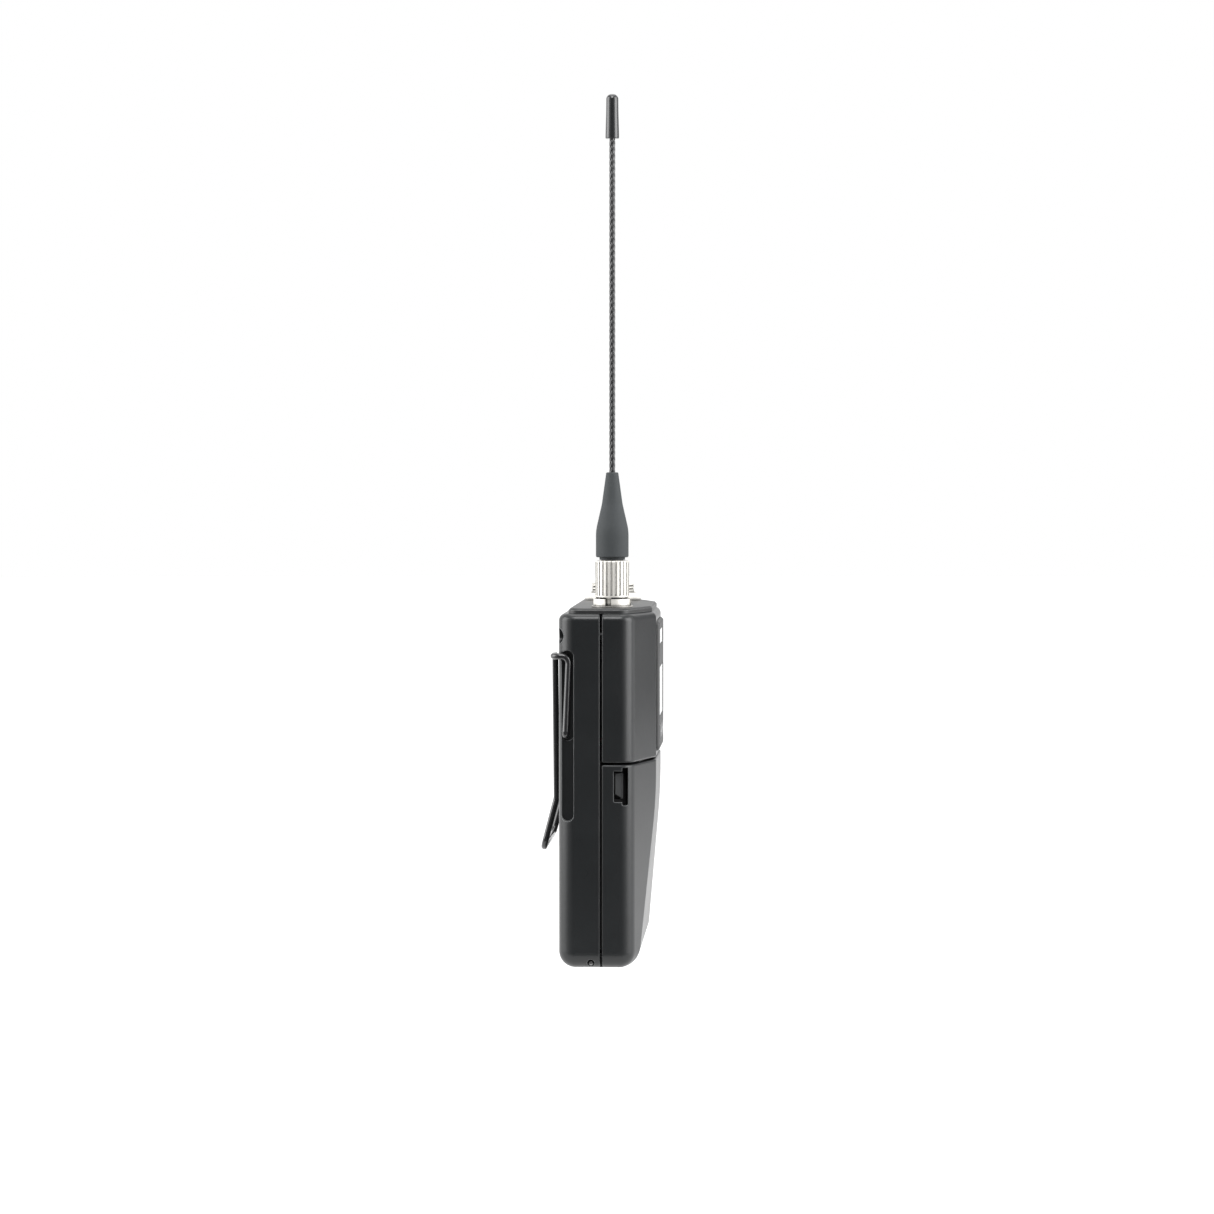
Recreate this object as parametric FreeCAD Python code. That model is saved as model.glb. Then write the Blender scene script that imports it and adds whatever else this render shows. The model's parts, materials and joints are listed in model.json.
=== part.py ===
import FreeCAD
import Part
import math
import os

# Wireless bodypack transmitter: a two-part case with a bottom-hinged battery door in its front,
# a reversible wire belt clip, an antenna on a threaded coaxial jack and a four-pin microphone
# connector. Millimetres; x is the width, z is up, the display faces -y and the clip is at +y.
# Every shape is drawn with y = 0 on the plane where the two case halves meet and with the case's
# flat underside at z = UNDERSIDE. On export the joint plane moves to y = SEAM_Y and the underside
# to z = 0, so that the origin ends up under the middle of the finished object.
SEAM_Y = -1.05
UNDERSIDE = -0.8

# Case
HALF_WIDTH = 33.0
REAR_DEPTH = 10.3
FRONT_DEPTH = 12.6
SIDE_DEPTH = 7.2            # depth of the side wall where its line meets the facet's line
FLAT_HALF_WIDTH = 15.0      # the front facets run from here to the side walls
SHOULDER_Z = 84.7
WALL = 1.6
HALF_GAP = 0.2              # half the joint line between the case halves
CORNER = 4.0                # big outer roundings
SHOULDER_ROUND = 1.7
JOINT_ROUND = 0.42          # softened edges along the joint lines
FACET = math.atan2(FRONT_DEPTH - SIDE_DEPTH, HALF_WIDTH - FLAT_HALF_WIDTH)

# Battery door
DOOR_TOP = 48.45
UPPER_BOTTOM = 48.95
DOOR_FOOT_DEPTH = 8.88      # depth of the sloping door front where it would reach z = 0
FOOT_ROUND = 5.0            # rounding between the sloping front and the underside
DOOR_BEND_Z = 39.1
DOOR_BEND_RADIUS = 150.0
HINGE_Y = 2.45
HINGE_Z = UNDERSIDE + 1.4
PIN_RADIUS = 0.6
KNUCKLE = (26.0, 29.8)      # from and to, in x, on each side

# Top plate and connectors
PLATE_TOP = 86.0
ROOF_UNDERSIDE = 83.1
ANTENNA_X, ANTENNA_Y = -24.0, -2.3
MIC_X, MIC_Y = 22.0, -0.15
SMA_PITCH = 0.7056          # 36 threads per inch
SWITCH_X, SWITCH_Y = -4.0, -2.6
SWITCH_TRAVEL = 3.0
LED_X = 6.0

# Front panel
PANEL_FACE = 13.35
PANEL_SEAT = 12.0
PANEL_HALF_WIDTH = 13.0
PANEL_Z = (50.3, 82.2)
WINDOW_HALF_WIDTH = 11.2
WINDOW_Z = (58.6, 70.8)
STRIP_Z = (76.3, 79.9)
STRIP_HALF_WIDTH = 9.8
BUTTON_Z = (53.0, 56.4)
BUTTON_WIDTH = 4.3
BUTTON_PITCH = 4.9
BUTTON_XS = [BUTTON_PITCH * step for step in (-1.5, -0.5, 0.5, 1.5)]

# Circuit board
BOARD_BACK = 6.4
BOARD_FRONT = 7.6
BOARD_SCREWS = [(x, z) for x in (-22.0, 22.0) for z in (54.0, 76.0)]

# Batteries
CELL_RADIUS = 7.1
BAY_RADIUS = 7.35
BAY_HALF_LENGTH = 28.0
CELL_ZS = (12.0, 27.4)
NUB_LENGTH = 1.0
CONTACT = 0.4
CONTACT_BUMP = 1.2
SPRING_ROOM = 3.45          # compressed length of a contact spring

# Belt clip
CLIP_WIRE = 0.75
CLIP_ARM_X = 32.1
CLIP_BAR_Y, CLIP_BAR_Z = 11.5, 74.5
CLIP_PIN_Y, CLIP_PIN_Z = 8.55, 55.3
CLIP_SPLIT_X = 28.0
POCKET_Y = (6.55, 9.5)

# Side latches
LATCH_FACE_X = 31.9
LATCH_Z = (40.6, 46.4)

# Case screws: x, z and how far the tip reaches in y
CASE_SCREWS = [(side * x, z, tip) for x, z, tip in ((30.0, 79.3, -4.8), (25.5, 43.0, -1.2))
               for side in (-1, 1)]
SCREW_SEAT = 7.6

NORMALS = {"x": FreeCAD.Vector(1, 0, 0), "y": FreeCAD.Vector(0, 1, 0), "z": FreeCAD.Vector(0, 0, 1)}


# ---------------------------------------------------------------- drawing helpers

def at(axis, level, u, v):
    """The point (u, v) on the plane across the axis at the given level."""
    if axis == "x":
        return FreeCAD.Vector(level, u, v)
    if axis == "y":
        return FreeCAD.Vector(u, level, v)
    return FreeCAD.Vector(u, v, level)


def joined(points, radii, closed):
    """Straight edges through the points, with an arc wherever a radius is given."""
    count = len(points)
    spans = []
    for i, (corner, radius) in enumerate(zip(points, radii)):
        if not radius:
            spans.append((corner, None, corner))
            continue
        before = (points[i - 1] - corner).normalize()
        after = (points[(i + 1) % count] - corner).normalize()
        half = before.getAngle(after) / 2
        reach = radius / math.tan(half)
        inward = (before + after).normalize()
        centre = corner + inward * (radius / math.sin(half))
        spans.append((corner + before * reach, centre - inward * radius, corner + after * reach))
    edges = []
    for i, (first, middle, last) in enumerate(spans):
        if middle is not None:
            edges.append(Part.Arc(first, middle, last).toShape())
        if not closed and i == count - 1:
            break
        following = spans[(i + 1) % count][0]
        if last.distanceToPoint(following) > 1e-6:
            edges.append(Part.makeLine(last, following))
    return Part.Wire(edges)


def outline(corners, axis, level):
    """Closed outline from (u, v) or (u, v, radius) corners."""
    points = [at(axis, level, corner[0], corner[1]) for corner in corners]
    radii = [corner[2] if len(corner) > 2 else 0.0 for corner in corners]
    return joined(points, radii, True)


def prism(corners, axis, low, high):
    return Part.Face(outline(corners, axis, low)).extrude(NORMALS[axis] * (high - low))


def block(x, y, z):
    """Box from (low, high) pairs."""
    corners = [(x[0], y[0]), (x[1], y[0]), (x[1], y[1]), (x[0], y[1])]
    return prism(corners, "z", z[0], z[1])


def slab(axis, u, v, radius, low, high):
    """Rounded rectangle extruded along the axis."""
    corners = [(u[0], v[0], radius), (u[1], v[0], radius), (u[1], v[1], radius), (u[0], v[1], radius)]
    return prism(corners, axis, low, high)


def rod(axis, u, v, radius, low, high):
    return Part.makeCylinder(radius, high - low, at(axis, low, u, v), NORMALS[axis])


def ring(x, y, inner, outer, low, high):
    return rod("z", x, y, outer, low, high).cut(rod("z", x, y, inner, low, high))


def turned(corners, x, y):
    """Solid of revolution about the vertical through (x, y) from (radius, z) corners."""
    face = Part.Face(outline(corners, "y", 0.0))
    solid = face.revolve(FreeCAD.Vector(0, 0, 0), FreeCAD.Vector(0, 0, 1), 360)
    solid.translate(FreeCAD.Vector(x, y, 0))
    return solid


def wire_along(path, radius):
    """Round wire through (x, y, z) or (x, y, z, bend radius) points."""
    points = [FreeCAD.Vector(*corner[:3]) for corner in path]
    bends = [corner[3] if len(corner) > 3 else 0.0 for corner in path]
    spine = joined(points, bends, False)
    start = Part.Circle(points[0], points[1] - points[0], radius)
    return spine.makePipeShell([Part.Wire(start.toShape())], True, False)


def mirrored(corners):
    """Full outline from its +u half."""
    return corners + [(-corner[0],) + tuple(corner[1:]) for corner in reversed(corners)]


def other_side(shape):
    return shape.mirror(FreeCAD.Vector(0, 0, 0), FreeCAD.Vector(1, 0, 0))


def both_sides(shape):
    """The shape and its mirror image across the middle plane, as two solids."""
    return Part.makeCompound([shape, other_side(shape)])


def cut_all(shape, tools):
    return shape.cut(Part.makeCompound(tools).Solids) if tools else shape


def fuse_all(shapes):
    return shapes[0].multiFuse(shapes[1:]).removeSplitter()


def flat_edges(shape, z, parting):
    """Edges lying at height z, apart from the one on the parting plane."""
    found = []
    for edge in shape.Edges:
        box = edge.BoundBox
        level = abs(box.ZMin - z) < 1e-4 and abs(box.ZMax - z) < 1e-4
        on_parting = abs(box.YMin - parting) < 1e-4 and abs(box.YMax - parting) < 1e-4
        if level and not on_parting:
            found.append(edge)
    return found


def parting_edges(shape, parting):
    return [edge for edge in shape.Edges
            if abs(edge.BoundBox.YMin - parting) < 1e-4 and abs(edge.BoundBox.YMax - parting) < 1e-4]


def thread_grooves(x, y, radius, depth, pitch, low, high):
    """Ring grooves that stand for the thread on a round shank."""
    count = int((high - low) / pitch)
    grooves = []
    for turn in range(count):
        z = low + (turn + 0.5) * pitch
        corners = [(radius - depth, z), (radius + 0.2, z - pitch * 0.45), (radius + 0.2, z + pitch * 0.45)]
        grooves.append(turned(corners, x, y))
    return grooves


# ---------------------------------------------------------------- case

def front_outline(inset, corner):
    """Plan of the faceted front, moved inward by inset."""
    return mirrored([
        (HALF_WIDTH - inset, -HALF_GAP if not inset else 1.0),
        (HALF_WIDTH - inset, -SIDE_DEPTH + inset * math.tan(math.pi / 4 - FACET / 2), corner),
        (FLAT_HALF_WIDTH - inset * math.tan(FACET / 2), -FRONT_DEPTH + inset, corner / 2 + 0.2)])


def connector_holes(clearance, low, high):
    return [rod("z", ANTENNA_X, ANTENNA_Y, 3.2 + clearance, low, high),
            rod("z", MIC_X, MIC_Y, 5.52 + clearance, low, high),
            rod("z", LED_X, SWITCH_Y, 1.22 + clearance, low, high),
            slab("z", (SWITCH_X - 2.6, SWITCH_X + 2.6), (SWITCH_Y - 0.8, SWITCH_Y + 0.8), 0.3, low, high)]


def clip_pocket():
    """Side recess that takes the clip's arm: deep where it sits, shallow where it sits reversed."""
    deep = slab("x", POCKET_Y, (54.2, 75.9), 1.44, 30.3, 34.0)
    shallow = slab("x", POCKET_Y, (34.8, 60.0), 1.44, 31.0, 34.0)
    notch = block((31.0, 34.0), (9.0, 11.5), (73.4, 75.6))
    pin_hole = rod("x", CLIP_PIN_Y, CLIP_PIN_Z, CLIP_WIRE + 0.05, 28.9, 31.0)
    return [deep, shallow, notch, pin_hole]


def rear_housing():
    plan = mirrored([(HALF_WIDTH, HALF_GAP), (HALF_WIDTH, REAR_DEPTH, CORNER + 0.1)])
    body = prism(plan, "z", UNDERSIDE, SHOULDER_Z)
    body = body.makeFillet(CORNER, flat_edges(body, UNDERSIDE, HALF_GAP))
    body = body.makeFillet(SHOULDER_ROUND, flat_edges(body, SHOULDER_Z, HALF_GAP))
    body = body.makeFillet(JOINT_ROUND, parting_edges(body, HALF_GAP))
    floor = UNDERSIDE + 1.7
    inside = prism(mirrored([(31.3, -1.0), (31.3, 8.6, 2.4)]), "z", floor, ROOF_UNDERSIDE)
    inside = inside.makeFillet(2.3, flat_edges(inside, floor, -1.0))
    body = body.cut(inside)
    added = []
    removed = connector_holes(0.2, 80.0, 88.0)
    for mirror in (False, True):
        pads = [block((28.0, 31.6), (5.2, 8.8), (52.5, 77.5)),
                block((29.6, 31.6), (5.2, 8.8), (33.0, 53.0)),
                block((KNUCKLE[1] + 0.2, 31.4), (0.4, 4.4), (HINGE_Z + 0.1, HINGE_Z + 2.0)),
                block((KNUCKLE[0] - 2.2, KNUCKLE[0] - 0.2), (0.4, 4.4), (HINGE_Z - 0.4, HINGE_Z + 2.0))]
        cuts = clip_pocket()
        cuts.append(block((KNUCKLE[0] - 0.2, KNUCKLE[1] + 0.2), (-1.0, 4.4), (-3.0, HINGE_Z + 2.0)))
        cuts.append(rod("x", HINGE_Y, HINGE_Z, PIN_RADIUS, 24.6, 34.0))
        cuts.append(rod("x", HINGE_Y, HINGE_Z, PIN_RADIUS + 0.3, 31.0, 34.0))
        added += [other_side(pad) for pad in pads] if mirror else pads
        removed += [other_side(tool) for tool in cuts] if mirror else cuts
    for x, z, _ in CASE_SCREWS:
        front = 0.5 if z > SHOULDER_Z / 2 + 10 else 6.9
        added.append(rod("y", x, z, 2.85, front, 8.8))
        removed.append(rod("y", x, z, 1.9, SCREW_SEAT, 11.0))
        removed.append(rod("y", x, z, 1.0, 0.0, 9.0))
    added = [solid.common(prism(mirrored([(32.6, 0.3), (32.6, 9.4, CORNER)]), "z", HINGE_Z - 0.8, 84.0))
             for solid in added]
    body = fuse_all([body] + added)
    return cut_all(body, removed)


def front_housing():
    body = prism(front_outline(0.0, CORNER), "z", UPPER_BOTTOM, SHOULDER_Z)
    body = body.makeFillet(SHOULDER_ROUND, flat_edges(body, SHOULDER_Z, -HALF_GAP))
    soft = parting_edges(body, -HALF_GAP) + flat_edges(body, UPPER_BOTTOM, -HALF_GAP)
    body = body.makeFillet(JOINT_ROUND, soft)
    inside = prism(front_outline(WALL, CORNER - WALL), "z", UPPER_BOTTOM + 1.45, ROOF_UNDERSIDE)
    body = body.cut(inside)
    bosses = [rod("y", x, z, 2.0, -10.4, -BOARD_FRONT - 0.05) for x, z in BOARD_SCREWS]
    for x, z, _ in CASE_SCREWS[:2]:
        bosses.append(rod("y", x, z, 2.2, -7.0, -0.5))
        bosses.append(rod("y", x, z, 1.2, -0.6, 0.4))
    envelope = prism(front_outline(0.3, CORNER), "z", UPPER_BOTTOM + 0.2, SHOULDER_Z - 0.5)
    body = fuse_all([body] + [boss.common(envelope) for boss in bosses])
    tools = connector_holes(0.2, 80.0, 88.0)
    tools += [rod("y", x, z, 0.8, -9.1, -5.0) for x, z in BOARD_SCREWS]
    tools += [rod("y", x, z, 0.8, -5.0, 1.0) for x, z, _ in CASE_SCREWS[:2]]
    seat = PANEL_HALF_WIDTH + 0.12
    tools.append(slab("y", (-seat, seat), (PANEL_Z[0] - 0.12, PANEL_Z[1] + 0.12), 1.3,
                      -14.0, -PANEL_SEAT))
    tools.append(slab("y", (-11.4, 11.4), (58.2, 71.2), 0.6, -14.0, -10.0))
    tools.append(slab("y", (-9.8, 9.8), (BUTTON_Z[0] - 0.15, BUTTON_Z[1] + 0.15), 0.5, -14.0, -10.0))
    return cut_all(body, tools)


def top_plate():
    """Raised metal deck under the connectors."""
    plan = [(31.3, 8.0, 2.6), (31.3, -6.3, 3.2), (14.6, -11.6, 2.0)]
    plate = prism(mirrored(plan), "z", SHOULDER_Z, PLATE_TOP)
    rim = [edge for edge in plate.Edges if edge.BoundBox.ZMin > PLATE_TOP - 1e-4]
    plate = plate.makeChamfer(0.5, rim)
    return cut_all(plate, connector_holes(0.0, 84.0, 87.0))


def case_screw(x, z, tip):
    head = rod("y", x, z, 1.65, SCREW_SEAT, SCREW_SEAT + 1.2)
    head = head.makeFillet(0.35, [edge for edge in head.Edges
                                  if edge.BoundBox.YMin > SCREW_SEAT + 1.1])
    shank = rod("y", x, z, 0.8, tip, SCREW_SEAT)
    recess = [block((x - 0.9, x + 0.9), (SCREW_SEAT + 0.6, 12.0), (z - 0.2, z + 0.2)),
              block((x - 0.2, x + 0.2), (SCREW_SEAT + 0.6, 12.0), (z - 0.9, z + 0.9))]
    return cut_all(fuse_all([head, shank]), recess)


def case_screws():
    return Part.makeCompound([case_screw(*place) for place in CASE_SCREWS])


def hinge_pins():
    pin = rod("x", HINGE_Y, HINGE_Z, PIN_RADIUS, 24.6, 31.5)
    pin = pin.makeFillet(0.2, [pin.Edges[0]])
    return both_sides(pin)


# ---------------------------------------------------------------- front panel and its controls

def front_panel():
    panel = slab("y", (-PANEL_HALF_WIDTH, PANEL_HALF_WIDTH), PANEL_Z, 1.2, -PANEL_FACE, -PANEL_SEAT)
    rim = [edge for edge in panel.Edges if edge.BoundBox.YMax < -PANEL_FACE + 1e-4]
    panel = panel.makeChamfer(0.5, rim)
    wide = WINDOW_HALF_WIDTH + 0.05
    strip = STRIP_HALF_WIDTH + 0.05
    tools = [slab("y", (-wide, wide), (WINDOW_Z[0] - 0.05, WINDOW_Z[1] + 0.05), 0.5, -15.0, -10.0),
             slab("y", (-strip, strip), (STRIP_Z[0] - 0.05, STRIP_Z[1] + 0.05), 0.4, -15.0, -10.0)]
    half = BUTTON_WIDTH / 2 + 0.1
    for x in BUTTON_XS:
        tools.append(slab("y", (x - half, x + half), (BUTTON_Z[0] - 0.1, BUTTON_Z[1] + 0.1), 0.45,
                          -15.0, -10.0))
    return cut_all(panel, tools)


def display_window():
    return slab("y", (-WINDOW_HALF_WIDTH, WINDOW_HALF_WIDTH), WINDOW_Z, 0.45,
                -PANEL_FACE + 0.1, -PANEL_SEAT)


def sync_window():
    return slab("y", (-STRIP_HALF_WIDTH, STRIP_HALF_WIDTH), STRIP_Z, 0.35,
                -PANEL_FACE + 0.1, -PANEL_SEAT)


def lcd_module():
    frame = block((-13.4, 13.4), (-10.95, -BOARD_FRONT - 0.02), (57.45, 72.2))
    glass = block((-11.2, 11.2), (-PANEL_SEAT + 0.05, -10.9), (58.4, 71.0))
    return fuse_all([frame, glass])


def button(x):
    half = BUTTON_WIDTH / 2
    cap = slab("y", (x - half, x + half), BUTTON_Z, 0.4, -PANEL_FACE - 0.1, -10.7)
    cap = cap.makeFillet(0.2, [edge for edge in cap.Edges
                               if edge.BoundBox.YMax < -PANEL_FACE - 0.1 + 1e-4])
    flange = block((x - half, x + half), (-10.9, -10.3), (BUTTON_Z[0] - 0.8, BUTTON_Z[1] + 0.8))
    middle = sum(BUTTON_Z) / 2
    stem = block((x - 0.8, x + 0.8), (-10.4, -10.05), (middle - 0.8, middle + 0.8))
    return fuse_all([cap, flange, stem])


def tact_switches():
    middle = sum(BUTTON_Z) / 2
    switches = []
    for x in BUTTON_XS:
        base = block((x - 1.8, x + 1.8), (-9.0, -BOARD_FRONT), (middle - 1.5, middle + 1.5))
        switches.append(fuse_all([base, rod("y", x, middle, 0.75, -9.6, -8.9)]))
    return Part.makeCompound(switches)


# ---------------------------------------------------------------- electronics

def main_pcb():
    board = slab("y", (-25.5, 25.5), (51.2, 79.0), 0.8, -BOARD_FRONT, -BOARD_BACK)
    return cut_all(board, [rod("y", x, z, 1.1, -9.0, -5.0) for x, z in BOARD_SCREWS])


def board_screw(x, z):
    head = rod("y", x, z, 1.7, -BOARD_BACK, -BOARD_BACK + 1.1)
    shank = rod("y", x, z, 0.8, -9.0, -BOARD_BACK)
    slot = block((x - 1.0, x + 1.0), (-BOARD_BACK + 0.6, 0.0), (z - 0.2, z + 0.2))
    cross = block((x - 0.2, x + 0.2), (-BOARD_BACK + 0.6, 0.0), (z - 1.0, z + 1.0))
    return cut_all(fuse_all([head, shank]), [slot, cross])


def pcb_screws():
    return Part.makeCompound([board_screw(x, z) for x, z in BOARD_SCREWS])


def rf_shield():
    """Soldered screening can, open toward the board."""
    can = slab("y", (-19.0, -1.5), (57.5, 76.5), 0.8, -BOARD_BACK, -3.7)
    hollow = slab("y", (-18.7, -1.8), (57.8, 76.2), 0.5, -BOARD_BACK - 1.0, -4.0)
    return can.cut(hollow)


def pcb_components():
    back = -BOARD_BACK
    chips = [block((1.5, 9.5), (back, back + 1.1), (62.0, 70.0)),
             block((2.5, 7.0), (back, back + 0.9), (72.5, 76.5)),
             block((11.5, 15.5), (back, back + 1.4), (55.0, 59.0)),
             block((4.5, 8.5), (back, back + 2.6), (53.2, 56.2)),
             block((13.0, 20.0), (back, back + 2.4), (64.5, 67.0)),
             rod("y", 12.5, 73.0, 1.9, back, back + 2.8),
             rod("y", 0.0, 54.8, 2.2, back, back + 2.0)]
    return Part.makeCompound(chips)


def antenna_lead():
    path = [(ANTENNA_X, ANTENNA_Y, 77.4), (ANTENNA_X, ANTENNA_Y, 69.5, 2.2),
            (ANTENNA_X, -BOARD_BACK, 69.5)]
    return wire_along(path, 0.6)


def mic_pin_places():
    return [(MIC_X + sx * 1.5, MIC_Y + sy * 1.5) for sx in (-1, 1) for sy in (-1, 1)]


def mic_leads():
    """Four thin wires from the microphone connector to its header on the board."""
    leads = []
    for number, (x, y) in enumerate(sorted(mic_pin_places())):
        header_x = 14.0 + 1.6 * number
        path = [(x, y, 74.6), (x, y, 71.6, 0.8), (header_x, -5.2, 69.4, 0.6), (header_x, -5.2, 67.0)]
        leads.append(wire_along(path, 0.32))
    return Part.makeCompound(leads)


def battery_leads():
    """Two wires from the battery tray up to the board."""
    leads = []
    for x in (-2.5, 2.5):
        path = [(x, 5.0, 41.0), (x, 5.0, 51.5, 2.5), (x, -3.5, 52.6, 2.0), (x, -BOARD_BACK, 52.6)]
        leads.append(wire_along(path, 0.45))
    return Part.makeCompound(leads)


def switch_body():
    body = block((SWITCH_X - 5.0, SWITCH_X + 5.0), (SWITCH_Y - 2.0, SWITCH_Y + 2.0), (77.2, 82.9))
    track = block((SWITCH_X - 2.6, SWITCH_X + 2.6), (SWITCH_Y - 0.8, SWITCH_Y + 0.8), (81.2, 84.0))
    return body.cut(track)


def power_knob():
    """Ribbed slider, drawn at the off end of its travel."""
    x = SWITCH_X - SWITCH_TRAVEL / 2
    cap = slab("z", (x - 1.8, x + 1.8), (SWITCH_Y - 1.3, SWITCH_Y + 1.3), 0.3, PLATE_TOP + 0.05,
               PLATE_TOP + 0.95)
    stem = block((x - 0.7, x + 0.7), (SWITCH_Y - 0.6, SWITCH_Y + 0.6), (81.6, PLATE_TOP + 0.2))
    ribs = [block((x + step * 0.8 - 0.15, x + step * 0.8 + 0.15), (SWITCH_Y - 2, SWITCH_Y + 2),
                  (PLATE_TOP + 0.7, PLATE_TOP + 2)) for step in (-1.5, -0.5, 0.5, 1.5)]
    return cut_all(fuse_all([cap, stem]), ribs)


def status_led():
    profile = [(0.0, 82.1), (1.7, 82.1), (1.7, 83.05), (1.2, 83.05), (1.2, 86.4, 0.6), (0.0, 86.4)]
    return turned(profile, LED_X, SWITCH_Y)


# ---------------------------------------------------------------- battery compartment

def battery_tray():
    """Chassis that carries the two cells, the contacts and the side latches."""
    rear = prism(mirrored([(31.2, 0.3), (31.2, 8.05, 2.6)]), "z", 3.8, 48.2)
    plan = prism(front_outline(2.1, 1.9), "z", 3.8, 48.2)
    front = plan.common(block((-40.0, 40.0), (-6.6, 0.5), (0.0, 60.0)))
    tray = fuse_all([rear, front])
    tools = []
    for z in CELL_ZS:
        tools.append(rod("x", 0.0, z, BAY_RADIUS, -BAY_HALF_LENGTH, BAY_HALF_LENGTH))
        tools.append(block((-BAY_HALF_LENGTH, BAY_HALF_LENGTH), (-10.0, 0.0),
                           (z - BAY_RADIUS, z + BAY_RADIUS)))
    divider = sum(CELL_ZS) / 2
    tools.append(block((-BAY_HALF_LENGTH, BAY_HALF_LENGTH), (-10.0, 0.0), (divider - 1, divider + 1)))
    tools.append(block((-BAY_HALF_LENGTH, CONTACT - BAY_HALF_LENGTH), (-5.1, 5.1),
                       (CELL_ZS[0], CELL_ZS[1])))
    tools.append(block((-22.0, 22.0), (-5.0, 9.0), (37.0, 47.2)))
    tools.append(block((-5.0, 5.0), (3.5, 9.0), (46.0, 49.0)))
    for side in (-1, 1):
        pair = [latch_pocket(), block((29.4, 33.0), (4.9, 9.0), (32.6, 49.0)),
                rod("y", 25.5, 43.0, 3.1, 6.6, 9.0), rod("y", 25.5, 43.0, 0.8, -1.3, 9.0)]
        for tool in pair:
            tools += (tool if side > 0 else other_side(tool)).Solids
    return cut_all(tray, tools)


def latch_pocket():
    room = block((24.5, 29.7), (-5.6, -2.2), (39.4, 47.3))
    mouth = block((29.5, 33.0), (-5.45, -3.05), (40.15, 46.8))
    return fuse_all([room, mouth])


def latch():
    """Press-in tab whose face stands in the door's side window."""
    face = prism([(-4.8, LATCH_Z[0]), (-3.2, LATCH_Z[0] + 0.6), (-3.2, LATCH_Z[1]), (-4.8, LATCH_Z[1])],
                 "x", 28.6, LATCH_FACE_X)
    face = face.makeChamfer(0.3, [edge for edge in face.Edges
                                  if edge.BoundBox.XMin > LATCH_FACE_X - 1e-4])
    lean = [(28.0, -6.0), (LATCH_FACE_X - 0.55, -6.0), (LATCH_FACE_X + 0.02, -3.3), (28.0, -3.0)]
    face = face.common(prism(lean, "z", LATCH_Z[0] - 1.0, LATCH_Z[1] + 1.0))
    fin = block((28.6, 31.5), (-5.3, -4.7), (40.3, 46.5))
    base = block((27.9, 29.4), (-5.4, -2.4), (39.7, 47.0))
    return fuse_all([face, fin, base])


def coil(start, radius, length, turns, wire):
    """Coil spring drawn along +x from the start point."""
    spine = Part.Wire(Part.makeLongHelix(length / turns, length, radius).Edges)
    first = spine.Edges[0]
    section = Part.Circle(first.valueAt(first.FirstParameter), first.tangentAt(first.FirstParameter), wire)
    spring = spine.makePipeShell([Part.Wire(section.toShape())], True, True)
    spring.rotate(FreeCAD.Vector(0, 0, 0), FreeCAD.Vector(0, 1, 0), 90)
    spring.translate(FreeCAD.Vector(*start))
    return spring


def latch_spring():
    middle = sum(LATCH_Z) / 2
    return coil((24.75, -3.9, middle), 1.15, 2.9, 5, 0.15)


def cell(z, side):
    """One cell lying along x with its positive nub toward the given side."""
    nub_end = BAY_HALF_LENGTH - CONTACT - CONTACT_BUMP
    can_end = nub_end - NUB_LENGTH
    tail = -(BAY_HALF_LENGTH - CONTACT - SPRING_ROOM)
    profile = [(0.0, tail), (5.6, tail), (5.6, tail + 0.25), (CELL_RADIUS, tail + 0.25, 0.6),
               (CELL_RADIUS, can_end, 0.8), (4.4, can_end), (4.4, can_end - 0.3), (2.75, can_end - 0.3),
               (2.75, nub_end, 0.4), (0.0, nub_end)]
    shape = turned(profile, 0.0, 0.0)
    shape.rotate(FreeCAD.Vector(0, 0, 0), FreeCAD.Vector(0, 1, 0), 90 * side)
    shape.translate(FreeCAD.Vector(0, 0, z))
    return shape


def contact_plates():
    """One bridging plate on the left, two separate plates on the right."""
    low, high = CELL_ZS
    inner = BAY_HALF_LENGTH - CONTACT
    bridge = block((-BAY_HALF_LENGTH, -inner), (-5.0, 5.0), (low - 5.0, high + 5.0))
    pair = [block((inner, BAY_HALF_LENGTH), (-5.0, 5.0), (z - 5.0, z + 5.0)) for z in CELL_ZS]
    left_bump = rod("x", 0.0, low, 2.2, -inner - 0.1, -inner + CONTACT_BUMP)
    right_bump = rod("x", 0.0, high, 2.2, inner - CONTACT_BUMP, inner + 0.1)
    return Part.makeCompound([fuse_all([bridge, left_bump]), pair[0], fuse_all([pair[1], right_bump])])


def contact_springs():
    """Coil springs at the negative end of each cell."""
    low, high = CELL_ZS
    inner = BAY_HALF_LENGTH - CONTACT
    left = coil((-inner + 0.3, 0.0, high), 3.0, SPRING_ROOM - 0.6, 3, 0.28)
    right = coil((-inner + 0.3, 0.0, low), 3.0, SPRING_ROOM - 0.6, 3, 0.28)
    right.rotate(FreeCAD.Vector(0, 0, 0), FreeCAD.Vector(0, 0, 1), 180)
    return Part.makeCompound([left, right])


# ---------------------------------------------------------------- battery door

def door_slope():
    return (FRONT_DEPTH - DOOR_FOOT_DEPTH) / DOOR_BEND_Z


def door_front(inset, z):
    """Depth of the sloping front, moved inward by inset, at height z."""
    return DOOR_FOOT_DEPTH - inset * math.sqrt(1 + door_slope() ** 2) + door_slope() * z


def door_side(inset):
    """Side view of the door: upright at the top, sloping back below and rounded into the underside."""
    rear = -HALF_GAP if not inset else 2.0
    low = UNDERSIDE + inset
    bend_z = (FRONT_DEPTH - inset - door_front(inset, 0.0)) / door_slope()
    return [(rear, low), (rear, DOOR_TOP), (-FRONT_DEPTH + inset, DOOR_TOP),
            (-FRONT_DEPTH + inset, bend_z, DOOR_BEND_RADIUS - inset),
            (-door_front(inset, low), low, FOOT_ROUND - inset)]


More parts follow.
